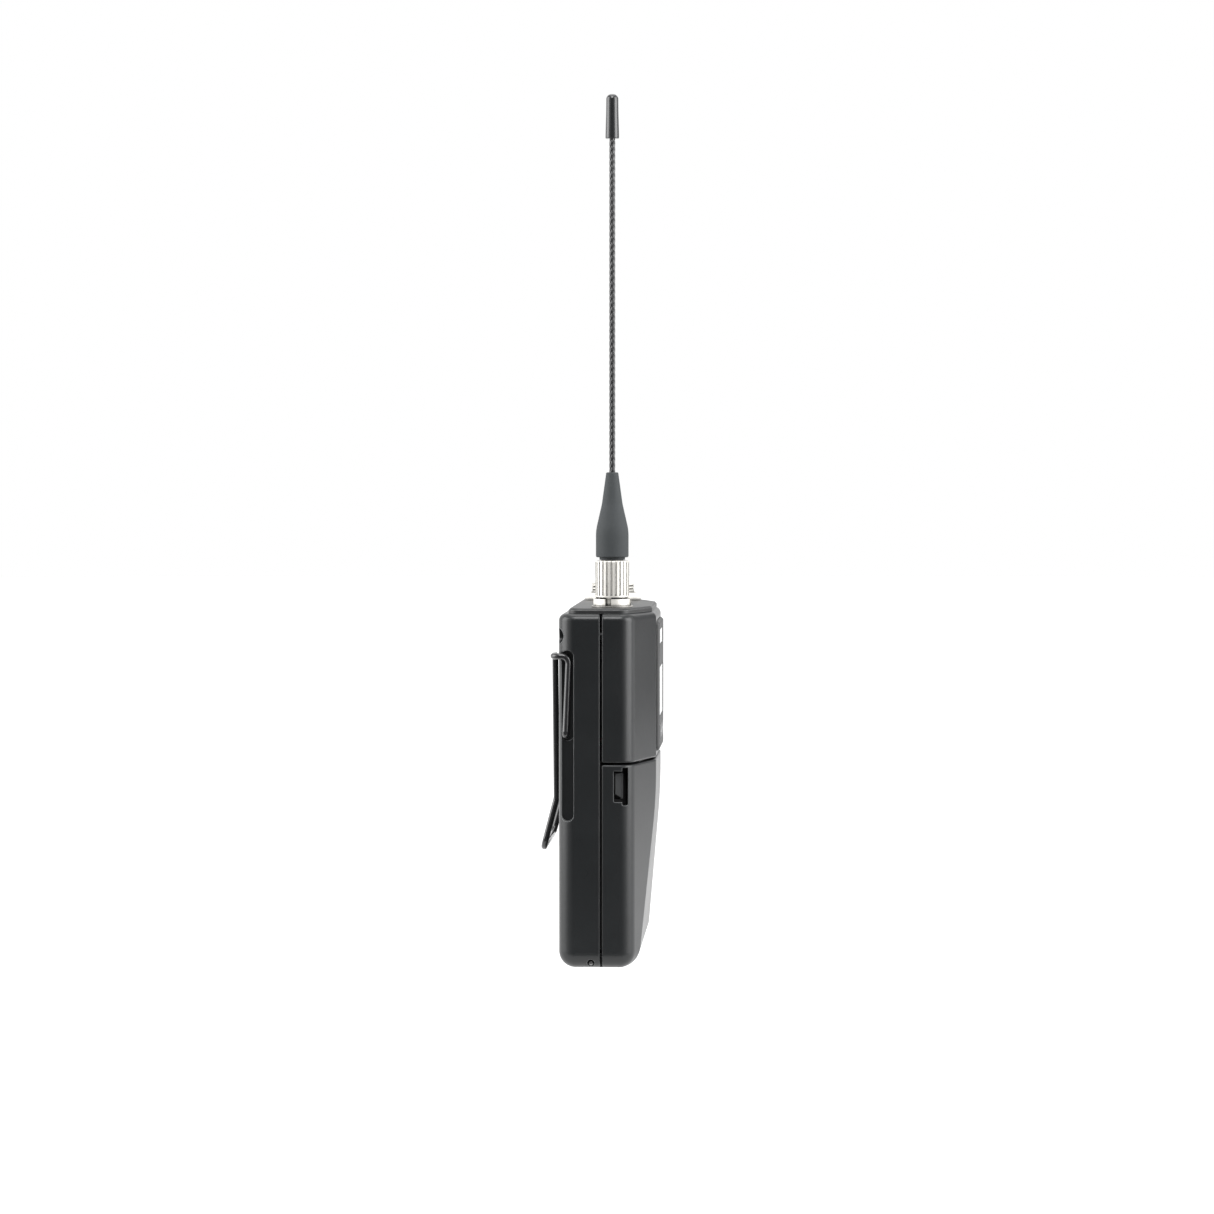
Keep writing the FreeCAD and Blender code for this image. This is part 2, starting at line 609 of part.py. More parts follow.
def door_windows():
    """Side window for the latch tab, with the lead-in it slides out through."""
    window = slab("x", (-5.2, -3.1), (39.5, 47.0), 0.3, 29.0, 34.0)
    slot = slab("x", (-6.5, -5.1), (38.7, 47.85), 0.3, 29.0, 34.0)
    lead_in = block((31.0, 32.1), (-5.2, 1.0), (38.7, 50.0))
    return [window, slot, lead_in]


def battery_door():
    body = prism(front_outline(0.0, CORNER), "z", UNDERSIDE, DOOR_TOP)
    body = body.makeFillet(CORNER, flat_edges(body, UNDERSIDE, -HALF_GAP))
    body = body.common(prism(door_side(0.0), "x", -40.0, 40.0))
    soft = parting_edges(body, -HALF_GAP) + flat_edges(body, DOOR_TOP, -HALF_GAP)
    body = body.makeFillet(JOINT_ROUND, soft)
    floor = UNDERSIDE + WALL
    inside = prism(front_outline(WALL, CORNER - WALL), "z", floor, DOOR_TOP - 1.25)
    inside = inside.makeFillet(CORNER - WALL, flat_edges(inside, floor, 1.0))
    inside = inside.common(prism(door_side(WALL), "x", -40.0, 40.0))
    mouth = prism(front_outline(WALL, CORNER - WALL), "z", 46.0, 50.0)
    mouth = mouth.common(block((-40.0, 40.0), (-9.6, 2.0), (45.0, 51.0)))
    body = cut_all(body, [inside, mouth])
    arm = slab("x", (-2.4, HINGE_Y + 1.3), (HINGE_Z - 1.3, HINGE_Z + 1.3), 1.25, KNUCKLE[0], KNUCKLE[1])
    body = fuse_all([body, arm, other_side(arm)])
    tools = [rod("x", HINGE_Y, HINGE_Z, PIN_RADIUS + 0.05, 20.0, 31.0)] + door_windows()
    return cut_all(body, tools + [other_side(tool) for tool in tools])


def door_pad():
    """Foam strip inside the door that steadies the cells."""
    low, high = 15.3, 24.1
    corners = [(0.03 - door_front(WALL, low), low), (0.03 - door_front(WALL, high), high),
               (-6.7, high), (-6.7, low)]
    return prism(corners, "x", -16.0, 16.0)


# ---------------------------------------------------------------- belt clip

def clip_arm():
    """Outer share of the spring wire: pin, arm and the start of the cross bar."""
    path = [(29.1, CLIP_PIN_Y, CLIP_PIN_Z), (CLIP_ARM_X, CLIP_PIN_Y, CLIP_PIN_Z, 1.1),
            (CLIP_ARM_X, 7.75, CLIP_BAR_Z, 1.6), (CLIP_ARM_X, CLIP_BAR_Y, CLIP_BAR_Z, 1.6),
            (CLIP_SPLIT_X + 0.02, CLIP_BAR_Y, CLIP_BAR_Z)]
    return wire_along(path, CLIP_WIRE)


def clip_tongue():
    """The U of wire that grips the belt, with its foot kicked outward."""
    half = [(CLIP_SPLIT_X - 0.02, CLIP_BAR_Y, CLIP_BAR_Z), (24.0, CLIP_BAR_Y, CLIP_BAR_Z, 1.6),
            (19.1, CLIP_BAR_Y, 39.3, 4.0), (17.5, 14.8, 26.9, 2.5)]
    return wire_along(mirrored(half), CLIP_WIRE)


# ---------------------------------------------------------------- antenna connector and antenna

def sma_jack():
    profile = [(2.1, 77.5), (2.6, 77.5), (2.6, 81.4), (4.4, 81.4), (4.4, 83.05), (3.12, 83.05),
               (3.12, 94.0, 0.2), (2.1, 94.0)]
    jack = turned(profile, ANTENNA_X, ANTENNA_Y)
    return cut_all(jack, thread_grooves(ANTENNA_X, ANTENNA_Y, 3.12, 0.28, SMA_PITCH, 88.3, 93.6))


def sma_dielectric():
    return ring(ANTENNA_X, ANTENNA_Y, 0.75, 2.1, 77.5, 93.6)


def sma_contact():
    socket = rod("z", ANTENNA_X, ANTENNA_Y, 0.75, 77.5, 93.4)
    return socket.cut(rod("z", ANTENNA_X, ANTENNA_Y, 0.52, 88.0, 94.0))


def sma_washer():
    return ring(ANTENNA_X, ANTENNA_Y, 3.25, 5.0, PLATE_TOP, PLATE_TOP + 0.4)


def sma_ring_nut():
    nut = ring(ANTENNA_X, ANTENNA_Y, 3.2, 4.55, 86.4, 88.1)
    slot = block((-0.725, 0.725), (3.7, 6.0), (86.0, 89.0))
    slots = []
    for quarter in range(4):
        turned_slot = slot.copy()
        turned_slot.rotate(FreeCAD.Vector(0, 0, 0), FreeCAD.Vector(0, 0, 1), 90 * quarter + 80)
        turned_slot.translate(FreeCAD.Vector(ANTENNA_X, ANTENNA_Y, 0))
        slots.append(turned_slot)
    return cut_all(nut, slots)


def coupling_nut():
    """Fluted nut that screws the antenna to the jack."""
    profile = [(3.25, 88.2), (3.9, 88.2), (4.1, 88.5), (4.1, 97.0), (3.85, 97.3), (2.76, 97.3),
               (2.76, 95.55), (3.25, 95.55)]
    nut = turned(profile, ANTENNA_X, ANTENNA_Y)
    flutes = []
    count = 24
    for number in range(count):
        angle = 2 * math.pi * number / count
        flutes.append(rod("z", ANTENNA_X + 4.15 * math.cos(angle), ANTENNA_Y + 4.15 * math.sin(angle),
                          0.27, 88.9, 98.0))
    return cut_all(nut, flutes)


def antenna_ferrule():
    profile = [(1.2, 94.1), (3.12, 94.1), (3.12, 95.4), (2.7, 95.4), (2.7, 97.5), (2.2, 97.5),
               (2.2, 103.0), (1.2, 103.0)]
    return turned(profile, ANTENNA_X, ANTENNA_Y)


def antenna_insulator():
    return ring(ANTENNA_X, ANTENNA_Y, 0.46, 1.2, 94.1, 99.5)


def antenna_pin():
    pin = rod("z", ANTENNA_X, ANTENNA_Y, 0.46, 90.6, 99.5)
    return pin.makeChamfer(0.25, [edge for edge in pin.Edges if edge.BoundBox.ZMax < 90.7])


def antenna_boot():
    """Moulded strain relief: straight, flaring in, then a slim cone."""
    profile = [(2.2, 97.5), (3.1, 97.5), (3.1, 98.1), (3.95, 98.1, 0.35), (3.95, 104.6, 12.0), (2.5, 111.0, 5.0),
               (1.45, 118.6, 0.3), (0.76, 118.6), (0.76, 103.0), (2.2, 103.0)]
    return turned(profile, ANTENNA_X, ANTENNA_Y)


def antenna_whip():
    return rod("z", ANTENNA_X, ANTENNA_Y, 0.725, 99.6, 203.0)


def antenna_tip():
    profile = [(0.76, 198.8), (1.65, 198.8, 0.25), (1.65, 199.8), (1.5, 205.2), (1.46, 209.5, 1.25),
               (0.0, 209.5), (0.0, 203.2), (0.76, 203.2)]
    return turned(profile, ANTENNA_X, ANTENNA_Y)


# ---------------------------------------------------------------- microphone connector

def mic_shell():
    profile = [(4.2, 75.6), (4.9, 75.6), (4.9, 81.4), (5.9, 81.4), (5.9, 83.05), (5.5, 83.05),
               (5.5, 90.7, 0.3), (4.2, 90.7)]
    shell = turned(profile, MIC_X, MIC_Y)
    key = block((MIC_X - 0.6, MIC_X + 0.6), (MIC_Y + 3.6, MIC_Y + 4.4), (86.4, 90.2))
    shell = cut_all(shell, thread_grooves(MIC_X, MIC_Y, 5.5, 0.35, 0.8, 88.1, 90.5))
    return fuse_all([shell, key])


def mic_insert():
    insert = rod("z", MIC_X, MIC_Y, 4.15, 76.0, 86.4)
    return cut_all(insert, [rod("z", x, y, 0.5, 75.0, 87.0) for x, y in mic_pin_places()])


def mic_pins():
    pins = []
    for x, y in mic_pin_places():
        pin = rod("z", x, y, 0.5, 74.6, 89.4)
        pins.append(pin.makeFillet(0.3, [edge for edge in pin.Edges if edge.BoundBox.ZMin > 89.3]))
    return Part.makeCompound(pins)


def mic_washer():
    return ring(MIC_X, MIC_Y, 5.55, 6.9, PLATE_TOP, PLATE_TOP + 0.2)


def mic_nut():
    """Hexagon nut with two corners along y."""
    corner = 7.25
    hexagon = [(MIC_X + corner * math.sin(math.pi / 3 * i), MIC_Y + corner * math.cos(math.pi / 3 * i))
               for i in range(6)]
    nut = prism(hexagon, "z", 86.2, 88.0)
    dome = turned([(0.0, 86.2), (7.0, 86.2), (7.3, 86.45), (7.3, 87.75), (7.0, 88.0), (0.0, 88.0)],
                  MIC_X, MIC_Y)
    return nut.common(dome).cut(rod("z", MIC_X, MIC_Y, 5.55, 86.0, 89.0))


# ---------------------------------------------------------------- all the pieces

def pieces():
    parts = {
        "rear_housing": rear_housing(), "front_housing": front_housing(), "top_plate": top_plate(),
        "case_screws": case_screws(), "hinge_pins": hinge_pins(), "front_panel": front_panel(),
        "display_window": display_window(), "sync_window": sync_window(), "lcd_module": lcd_module(),
        "tact_switches": tact_switches(), "main_pcb": main_pcb(), "pcb_screws": pcb_screws(),
        "rf_shield": rf_shield(), "pcb_components": pcb_components(), "antenna_lead": antenna_lead(),
        "mic_leads": mic_leads(), "battery_leads": battery_leads(), "switch_body": switch_body(),
        "power_knob": power_knob(), "status_led": status_led(), "battery_tray": battery_tray(),
        "cell_upper": cell(CELL_ZS[1], 1), "cell_lower": cell(CELL_ZS[0], -1),
        "contact_plates": contact_plates(), "contact_springs": contact_springs(),
        "battery_door": battery_door(), "door_pad": door_pad(), "clip_tongue": clip_tongue(),
        "sma_jack": sma_jack(), "sma_dielectric": sma_dielectric(), "sma_contact": sma_contact(),
        "sma_washer": sma_washer(), "sma_ring_nut": sma_ring_nut(), "coupling_nut": coupling_nut(),
        "antenna_ferrule": antenna_ferrule(), "antenna_insulator": antenna_insulator(),
        "antenna_pin": antenna_pin(), "antenna_boot": antenna_boot(), "antenna_whip": antenna_whip(),
        "antenna_tip": antenna_tip(), "mic_shell": mic_shell(), "mic_insert": mic_insert(),
        "mic_pins": mic_pins(), "mic_washer": mic_washer(), "mic_nut": mic_nut()}
    for name, shape in (("latch", latch()), ("latch_spring", latch_spring()), ("clip_arm", clip_arm())):
        parts[name + "_right"] = shape
        parts[name + "_left"] = other_side(shape)
    for name, x in zip(("menu", "up", "down", "set"), BUTTON_XS):
        parts["button_" + name] = button(x)
    return parts


os.makedirs("parts", exist_ok=True)
for node, piece in pieces().items():
    piece.translate(FreeCAD.Vector(0, SEAM_Y, -UNDERSIDE))
    piece.exportStep("parts/" + node + ".step")
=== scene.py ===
import json
import math

import bmesh
import bpy
from mathutils import Matrix, Vector, noise


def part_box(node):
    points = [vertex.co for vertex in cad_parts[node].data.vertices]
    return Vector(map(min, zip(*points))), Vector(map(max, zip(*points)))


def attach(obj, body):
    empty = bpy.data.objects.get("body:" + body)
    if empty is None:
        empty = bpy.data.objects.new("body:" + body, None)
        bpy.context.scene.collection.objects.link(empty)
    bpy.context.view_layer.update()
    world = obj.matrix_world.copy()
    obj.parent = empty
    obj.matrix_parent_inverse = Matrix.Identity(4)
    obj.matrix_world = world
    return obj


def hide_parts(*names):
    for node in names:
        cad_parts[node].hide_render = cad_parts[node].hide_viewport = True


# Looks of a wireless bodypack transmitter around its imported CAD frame. Metres, in the frame of the
# CAD: z is up, the display faces -y, the belt clip is at +y and the antenna at -x.

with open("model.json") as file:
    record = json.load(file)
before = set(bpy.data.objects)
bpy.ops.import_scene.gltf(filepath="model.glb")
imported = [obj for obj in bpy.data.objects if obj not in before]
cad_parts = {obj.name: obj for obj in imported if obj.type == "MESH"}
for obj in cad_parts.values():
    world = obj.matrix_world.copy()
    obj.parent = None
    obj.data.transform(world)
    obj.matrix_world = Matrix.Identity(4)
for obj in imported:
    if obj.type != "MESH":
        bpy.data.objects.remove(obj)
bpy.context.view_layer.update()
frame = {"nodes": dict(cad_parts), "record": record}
NODES = frame["nodes"]
MM = 0.001


# ---------------------------------------------------------------- camera, floor and light

AIM = Vector((-33.0, -2.55, 87.2)) * MM
VIEW_AZIMUTH = math.radians(-87.0)
VIEW_ELEVATION = math.radians(2.26)
VIEW_DISTANCE = 0.850
LENS_MM = 105.3
FLOOR_Z = -30 * MM           # below the reach of the open battery door
FLOOR_RADIUS = 4.0
LIGHT_AIM = Vector((0.0, 0.0, 0.09))


def towards_camera(azimuth, elevation):
    return Vector((math.sin(azimuth) * math.cos(elevation),
                   -math.cos(azimuth) * math.cos(elevation),
                   math.sin(elevation)))


def make_camera():
    data = bpy.data.cameras.new("photo_camera")
    camera = bpy.data.objects.new("photo_camera", data)
    bpy.context.scene.collection.objects.link(camera)
    back = towards_camera(VIEW_AZIMUTH, VIEW_ELEVATION)
    camera.location = AIM + back * VIEW_DISTANCE
    camera.rotation_mode = "QUATERNION"
    camera.rotation_quaternion = (-back).to_track_quat("-Z", "Y")
    data.sensor_width = 36.0
    data.lens = LENS_MM
    data.clip_start = 0.01
    data.clip_end = 50.0
    bpy.context.scene.camera = camera


def studio_material(name, shade, roughness, specular, glow):
    """Plain grey with a white glow of its own."""
    material = bpy.data.materials.new(name)
    material.use_nodes = True
    shader = material.node_tree.nodes["Principled BSDF"]
    shader.inputs["Base Color"].default_value = (shade, shade, shade, 1.0)
    shader.inputs["Roughness"].default_value = roughness
    shader.inputs["Specular IOR Level"].default_value = specular
    shader.inputs["Emission Color"].default_value = (1.0, 1.0, 1.0, 1.0)
    shader.inputs["Emission Strength"].default_value = glow
    return material


def make_floor():
    """Lit white paper, bright enough to leave no shadow."""
    mesh = bpy.data.meshes.new("floor")
    shape = bmesh.new()
    bmesh.ops.create_circle(shape, cap_ends=True, segments=96, radius=FLOOR_RADIUS)
    shape.to_mesh(mesh)
    shape.free()
    mesh.materials.append(studio_material("floor_paper", shade=0.20, roughness=0.9, specular=0.1, glow=1.02))
    floor = bpy.data.objects.new("floor", mesh)
    floor.location.z = FLOOR_Z
    bpy.context.scene.collection.objects.link(floor)


def make_world():
    world = bpy.data.worlds.new("studio")
    bpy.context.scene.world = world
    world.use_nodes = True
    background = world.node_tree.nodes["Background"]
    background.inputs["Color"].default_value = (1.0, 1.0, 1.0, 1.0)
    background.inputs["Strength"].default_value = 1.0


def make_cloth():
    """Dark cloth that only reflections see: flat and upright at -x, and an upright strip past the front."""
    near, far, half, height = -0.09, -1.0, 0.62, 0.95
    low = FLOOR_Z + MM
    strip_start, strip_end, strip_height = (0.64, -0.64), (0.82, -0.37), 0.6
    corners = [(near, -half, low), (near, half, low), (far, half, low), (far, -half, low),
               (far, half, height), (far, -half, height),
               (*strip_start, low), (*strip_end, low),
               (*strip_end, strip_height), (*strip_start, strip_height)]
    mesh = bpy.data.meshes.new("dark_cloth")
    mesh.from_pydata(corners, [], [(0, 1, 2, 3), (3, 2, 4, 5), (6, 7, 8, 9)])
    mesh.materials.append(studio_material("dark_cloth", shade=0.05, roughness=1.0, specular=0.5, glow=0.03))
    cloth = bpy.data.objects.new("dark_cloth", mesh)
    bpy.context.scene.collection.objects.link(cloth)
    cloth.visible_camera = False
    cloth.visible_shadow = False


def softbox(name, place, size, watts):
    """Rectangular lamp, hidden from the camera and turned to the middle of the case."""
    data = bpy.data.lights.new(name, "AREA")
    data.shape = "RECTANGLE"
    data.size, data.size_y = size
    data.energy = watts
    light = bpy.data.objects.new(name, data)
    bpy.context.scene.collection.objects.link(light)
    light.location = place
    light.rotation_mode = "QUATERNION"
    light.rotation_quaternion = (LIGHT_AIM - Vector(place)).to_track_quat("-Z", "Y")
    light.visible_camera = False


def make_lights():
    softbox("left_box", place=(-0.16, 0.95, 0.35), size=(0.8, 0.9), watts=8.5)
    softbox("right_box", place=(-0.27, -0.93, 0.35), size=(0.8, 0.9), watts=10.0)
    softbox("top_box", place=(0.25, 0.0, 1.1), size=(0.7, 0.7), watts=3.0)
    softbox("key_box", place=(-0.60, 0.0, 0.85), size=(0.5, 0.5), watts=5.0)


# ---------------------------------------------------------------- shader helpers

class Surface:
    """A Principled material with procedural detail in the piece's own coordinates."""

    MIX_COLOURS = (6, 7)        # input sockets of a mix node that mixes colours
    MIX_RESULT = 2
    EDGE_SAMPLES = 6
    HOLLOW_SAMPLES = 8

    def __init__(self, name, colour, roughness, metallic=0.0, **sockets):
        self.material = bpy.data.materials.new(name)
        self.material.use_nodes = True
        self.tree = self.material.node_tree
        self.shader = self.tree.nodes["Principled BSDF"]
        self.set("Base Color", (*colour, 1.0))
        self.set("Roughness", roughness)
        self.set("Metallic", metallic)
        for socket, value in sockets.items():
            self.set(socket.replace("_", " "), value)
        self.place = self.tree.nodes.new("ShaderNodeTexCoord").outputs["Object"]

    def set(self, socket, value):
        self.shader.inputs[socket].default_value = value

    def link(self, output, socket):
        self.tree.links.new(output, socket)

    def feed(self, node, socket, value):
        """Puts a number, colour or another node's output on a socket."""
        if isinstance(value, bpy.types.NodeSocket):
            self.link(value, node.inputs[socket])
        else:
            node.inputs[socket].default_value = value

    def stretched(self, scale, turn=(0.0, 0.0, 0.0)):
        node = self.tree.nodes.new("ShaderNodeMapping")
        self.link(self.place, node.inputs["Vector"])
        node.inputs["Rotation"].default_value = turn
        node.inputs["Scale"].default_value = scale
        return node.outputs["Vector"]

    def noise(self, scale, detail=2.0, roughness=0.5, distortion=0.0, place=None):
        node = self.tree.nodes.new("ShaderNodeTexNoise")
        self.link(place or self.place, node.inputs["Vector"])
        node.inputs["Scale"].default_value = scale
        node.inputs["Detail"].default_value = detail
        node.inputs["Roughness"].default_value = roughness
        node.inputs["Distortion"].default_value = distortion
        return node.outputs["Fac"]

    def cells(self, scale, feature="F1", place=None):
        node = self.tree.nodes.new("ShaderNodeTexVoronoi")
        node.feature = feature
        self.link(place or self.place, node.inputs["Vector"])
        node.inputs["Scale"].default_value = scale
        return node.outputs["Distance"]

    def axis(self, name, place=None):
        node = self.tree.nodes.new("ShaderNodeSeparateXYZ")
        self.link(place or self.place, node.inputs[0])
        return node.outputs[name]

    def math(self, operation, first, second=0.0, third=0.0):
        node = self.tree.nodes.new("ShaderNodeMath")
        node.operation = operation
        for number, value in enumerate((first, second, third)):
            self.feed(node, number, value)
        return node.outputs[0]

    def remap(self, value, low, high, to_low=0.0, to_high=1.0):
        node = self.tree.nodes.new("ShaderNodeMapRange")
        self.feed(node, "Value", value)
        for socket, number in (("From Min", low), ("From Max", high),
                               ("To Min", to_low), ("To Max", to_high)):
            node.inputs[socket].default_value = number
        return node.outputs["Result"]

    def mix(self, share, first, second):
        node = self.tree.nodes.new("ShaderNodeMix")
        node.data_type = "RGBA"
        self.feed(node, "Factor", share)
        for socket, value in zip(self.MIX_COLOURS, (first, second)):
            self.feed(node, socket, value if isinstance(value, bpy.types.NodeSocket) else (*value, 1.0))
        return node.outputs[self.MIX_RESULT]

    def rounded_edges(self, radius):
        """Normal that catches the light on sharp edges as a small rounding would."""
        node = self.tree.nodes.new("ShaderNodeBevel")
        node.samples = self.EDGE_SAMPLES
        node.inputs["Radius"].default_value = radius
        return node.outputs["Normal"]

    def edge_highlight_mask(self, radius):
        """0 on open faces, rising to 1 on sharp edges: the mask of a painted highlight along them."""
        node = self.tree.nodes.new("ShaderNodeVectorMath")
        node.operation = "DOT_PRODUCT"
        self.link(self.rounded_edges(radius), node.inputs[0])
        self.link(self.tree.nodes.new("ShaderNodeNewGeometry").outputs["Normal"], node.inputs[1])
        return self.remap(node.outputs["Value"], 0.99, 0.90)

    def hollows(self, reach):
        """1 on open faces, falling toward 0 down in grooves and corners."""
        node = self.tree.nodes.new("ShaderNodeAmbientOcclusion")
        node.samples = self.HOLLOW_SAMPLES
        node.inputs["Distance"].default_value = reach
        return node.outputs["AO"]

    def relief(self, *layers, normal=None):
        """Stacks (height, strength, depth) layers into the normal."""
        for height, strength, depth in layers:
            node = self.tree.nodes.new("ShaderNodeBump")
            node.inputs["Strength"].default_value = strength
            node.inputs["Distance"].default_value = depth
            self.link(height, node.inputs["Height"])
            if normal is not None:
                self.link(normal, node.inputs["Normal"])
            normal = node.outputs["Normal"]
        self.link(normal, self.shader.inputs["Normal"])

    def colour(self, output):
        self.link(output, self.shader.inputs["Base Color"])

    def gloss(self, output):
        self.link(output, self.shader.inputs["Roughness"])

    def metal(self, output):
        self.link(output, self.shader.inputs["Metallic"])


MOTTLE = (0.3, 0.7)


def mottled(surface, patch_scale, grain_scale):
    """Slow patches with a fine grain over them; most of it lies within MOTTLE."""
    patches = surface.noise(patch_scale, 3.0, 0.55)
    grain = surface.noise(grain_scale, 2.0, 0.6)
    return surface.math("MULTIPLY_ADD", grain, 0.45, surface.math("MULTIPLY", patches, 0.55))


def speckled(surface, dark, light, patch_scale, grain_scale, rough_low, rough_high):
    """Mottled colour, and a roughness that follows it."""
    blend = mottled(surface, patch_scale, grain_scale)
    surface.gloss(surface.remap(blend, *MOTTLE, rough_low, rough_high))
    return surface.mix(surface.remap(blend, *MOTTLE), dark, light)


# ---------------------------------------------------------------- materials

def case_paint(name, dark, light, rough_low, rough_high):
    """Satin lacquer over a cast and moulded case: faint orange peel under a fine powder grain."""
    # sharp edges are painted a lighter grey: a painted highlight along the seams, rims and pocket edges
    painted_edge_highlight = (0.150, 0.156, 0.160)
    paint = Surface(name, light, rough_low)
    tone = speckled(paint, dark, light, 70.0, 5200.0, rough_low, rough_high)
    paint.colour(paint.mix(paint.edge_highlight_mask(0.30 * MM), tone, painted_edge_highlight))
    peel = paint.noise(900.0, 2.0, 0.5)
    powder = paint.noise(6500.0, 3.0, 0.6)
    paint.relief((peel, 0.16, 0.05 * MM), (powder, 0.16, 0.02 * MM), normal=paint.rounded_edges(0.28 * MM))
    return paint.material


def moulded(name, dark, light, rough_low, rough_high, grain=4200.0, depth=0.02 * MM):
    """Spark-eroded plastic: small rounded pits and slight changes of shade."""
    plastic = Surface(name, light, rough_low)
    plastic.colour(speckled(plastic, dark, light, 110.0, grain, rough_low, rough_high))
    plastic.relief((plastic.cells(grain, "SMOOTH_F1"), 0.35, depth))
    return plastic.material


def rubber(name, dark, light):
    """Dull moulded rubber with a fine skin."""
    compound = Surface(name, light, 0.72, Specular_IOR_Level=0.35)
    compound.colour(speckled(compound, dark, light, 160.0, 3600.0, 0.62, 0.8))
    compound.relief((compound.noise(2600.0, 4.0, 0.65), 0.3, 0.03 * MM))
    return compound.material


def plated(name, tint, shade, rough_low, rough_high, metallic=1.0):
    """Bright plating: clouding, turning lines, a few hairline scratches and painted shade in the grooves."""
    metal = Surface(name, tint, rough_low, metallic)
    cloud = metal.noise(420.0, 3.0, 0.6)
    clouded = metal.mix(metal.remap(cloud, 0.35, 0.75), tint, shade)
    # grooves, and corners against other parts, are painted near black where ambient occlusion is low:
    # painted shade
    painted_groove_shade = tuple(0.10 * channel for channel in shade)
    metal.colour(metal.mix(metal.remap(metal.hollows(0.9 * MM), 0.60, 0.95), painted_groove_shade, clouded))
    metal.gloss(metal.remap(cloud, 0.3, 0.75, rough_low, rough_high))
    lines = metal.noise(900.0, 2.0, 0.5, place=metal.stretched((0.6, 0.6, 22.0)))
    scratches = metal.noise(1400.0, 2.0, 0.8, 0.6, place=metal.stretched((5.0, 1.0, 0.4), (0.3, 0.5, 0.2)))
    metal.relief((lines, 0.05, 0.01 * MM), (scratches, 0.04, 0.01 * MM))
    return metal.material


def wire_lacquer(name):
    """Thick glossy black dip on spring wire."""
    dip = Surface(name, (0.012, 0.012, 0.013), 0.16, Coat_Weight=0.6, Coat_Roughness=0.06)
    runs = dip.noise(260.0, 3.0, 0.5)
    dust = dip.noise(5000.0, 2.0, 0.7)
    dip.colour(dip.mix(dip.remap(dust, 0.45, 0.8), (0.010, 0.010, 0.011), (0.028, 0.028, 0.029)))
    dip.gloss(dip.remap(runs, 0.3, 0.7, 0.14, 0.26))
    dip.relief((runs, 0.25, 0.05 * MM))
    return dip.material


def gloss_plastic(name, tint, second, rough):
    """Polished moulding with faint flow marks under a clear coat."""
    shell = Surface(name, tint, rough, Coat_Weight=0.5, Coat_Roughness=0.05)
    flow = shell.noise(300.0, 3.0, 0.5, 0.4)
    shell.colour(shell.mix(flow, tint, second))
    shell.gloss(shell.remap(flow, 0.3, 0.7, rough, rough + 0.08))
    shell.relief((flow, 0.15, 0.03 * MM))
    return shell.material


def clear_window(name):
    """Hard clear acrylic with a trace of haze and a few hairlines."""
    pane = Surface(name, (0.93, 0.96, 0.95), 0.03, IOR=1.49, Transmission_Weight=1.0)
    haze = pane.noise(160.0, 3.0, 0.5)
    pane.gloss(pane.remap(haze, 0.35, 0.8, 0.02, 0.07))
    hairs = pane.noise(900.0, 2.0, 0.8, place=pane.stretched((6.0, 1.0, 0.5), (0.0, 0.6, 0.0)))
    pane.relief((hairs, 0.03, 0.01 * MM))
    return pane.material


def smoked_window(name):
    """Dark red acrylic strip."""
    pane = Surface(name, (0.020, 0.006, 0.008), 0.05, IOR=1.49, Coat_Weight=0.5)
    haze = pane.noise(200.0, 3.0, 0.5)
    pane.colour(pane.mix(haze, (0.012, 0.004, 0.005), (0.030, 0.008, 0.010)))
    pane.gloss(pane.remap(haze, 0.3, 0.8, 0.04, 0.09))
    pane.relief((haze, 0.08, 0.03 * MM))
    return pane.material


def liquid_crystal(name):
    """Reflective display at rest: grey-green field of fine dots inside a black mask."""
    low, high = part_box("display_window")
    middle = (low[2] + high[2]) / 2
    half_width, half_height, edge = 9.9 * MM, 4.9 * MM, 0.15 * MM
    dot_turn = 2 * math.pi / (0.28 * MM)
    mask = (0.012, 0.013, 0.013)
    lcd = Surface(name, (0.42, 0.47, 0.42), 0.28)
    across = lcd.math("ABSOLUTE", lcd.axis("X"))
    up = lcd.math("ABSOLUTE", lcd.math("SUBTRACT", lcd.axis("Z"), middle))
    rim = lcd.math("MAXIMUM", lcd.remap(across, half_width, half_width + edge),
                   lcd.remap(up, half_height, half_height + edge))
    field = lcd.mix(lcd.noise(90.0, 2.0, 0.5), (0.34, 0.40, 0.35), (0.42, 0.48, 0.42))
    rows = lcd.math("SINE", lcd.math("MULTIPLY", lcd.axis("Z"), dot_turn))
    columns = lcd.math("SINE", lcd.math("MULTIPLY", lcd.axis("X"), dot_turn))
    dots = lcd.remap(lcd.math("MULTIPLY", rows, columns), -1.0, 1.0, 0.0, 0.12)
    lcd.colour(lcd.mix(rim, lcd.mix(dots, field, (0.20, 0.25, 0.21)), mask))
    lcd.gloss(lcd.remap(rim, 0.0, 1.0, 0.22, 0.5))
    lcd.relief((lcd.noise(3000.0), 0.05, 0.01 * MM))
    return lcd.material


def circuit_board(name):
    """Green solder resist with raised copper tracks and tinned pads."""
    board = Surface(name, (0.01, 0.09, 0.035), 0.35)
    tracks = board.remap(board.cells(420.0, "DISTANCE_TO_EDGE"), 0.03, 0.05, 1.0, 0.0)
    pads = board.remap(board.cells(520.0), 0.16, 0.19, 1.0, 0.0)
    resist = board.mix(board.noise(200.0, 3.0), (0.006, 0.075, 0.028), (0.010, 0.105, 0.040))
    traced = board.mix(tracks, resist, (0.016, 0.15, 0.055))
    board.colour(board.mix(pads, traced, (0.62, 0.60, 0.55)))
    board.metal(pads)
    board.gloss(board.remap(pads, 0.0, 1.0, 0.38, 0.26))
    board.relief((board.math("MAXIMUM", tracks, pads), 0.5, 0.04 * MM))
    return board.material


